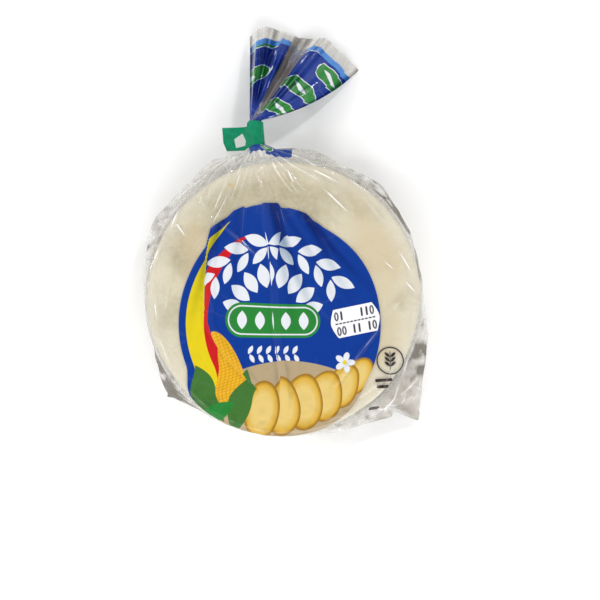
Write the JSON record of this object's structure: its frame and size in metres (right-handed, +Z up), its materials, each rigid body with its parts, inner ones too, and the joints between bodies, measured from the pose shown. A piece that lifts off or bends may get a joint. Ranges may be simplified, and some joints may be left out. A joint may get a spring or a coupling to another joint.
{
  "type": "bag of white corn arepas",
  "caption": "Clear printed film bag that holds a stack of round flat white corn arepas, gathered to a neck with tape, with a fanned tail and a small date label.",
  "frame": {"origin": "middle of the stack's round flat underside, on the surface that the bag lies on", "axes": "+Z up through the stack, square to the arepas' faces; +Y towards the taped neck and the tail; +X to the right of the shown face"},
  "size_m": [0.1476, 0.2144, 0.0383],
  "materials": {
    "film": "clear and printed soft film, glossy",
    "arepa": "griddled white corn dough, matt",
    "tape": "green adhesive tape, crinkled",
    "label": "white coated paper label, matt"
  },
  "bodies": {
    "root": {"bag": "film", "closure_tape": "tape", "date_label": "label"}
  },
  "joints": []
}
